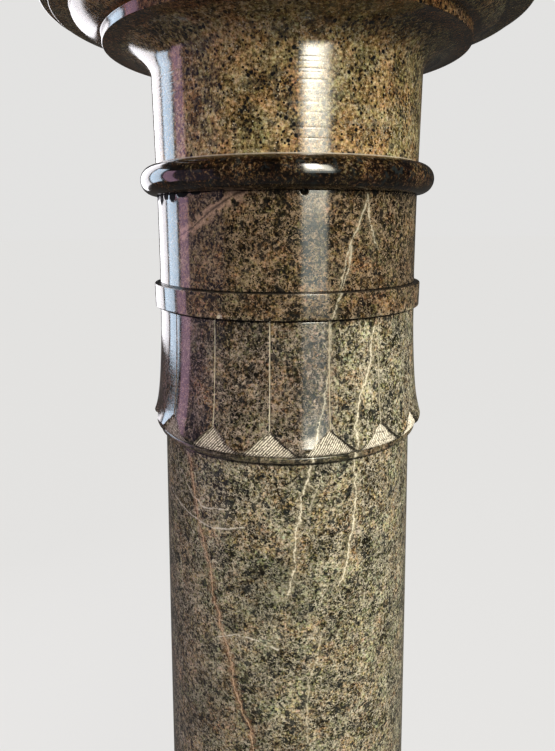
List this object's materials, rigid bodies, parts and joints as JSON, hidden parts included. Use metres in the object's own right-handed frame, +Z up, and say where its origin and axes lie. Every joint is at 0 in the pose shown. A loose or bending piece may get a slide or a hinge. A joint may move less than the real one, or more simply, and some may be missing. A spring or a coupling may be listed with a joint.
{
  "type": "stone column",
  "caption": "Tapering turned stone column with a carved petal collar under its capital, a neck ring, a round abacus and a moulded base on a square plinth.",
  "frame": {"origin": "centre of the plinth's underside, on the column's axis", "axes": "+Z up along the column's axis; X and Y square to the plinth's sides; -Y is the front, through the middle of the petal nearest to facing the picture's camera"},
  "size_m": [0.4116, 0.4116, 1.7],
  "materials": {
    "base_stone": "polished green-brown serpentine stone",
    "shaft_stone": "polished green-brown serpentine stone, unpolished tooled recesses",
    "ring_stone": "highly polished dark brown serpentine stone",
    "capital_stone": "polished olive-brown serpentine stone with dark specks"
  },
  "bodies": {
    "root": {"base": "base_stone", "shaft": "shaft_stone", "neck_ring": "ring_stone", "capital": "capital_stone"}
  },
  "joints": []
}
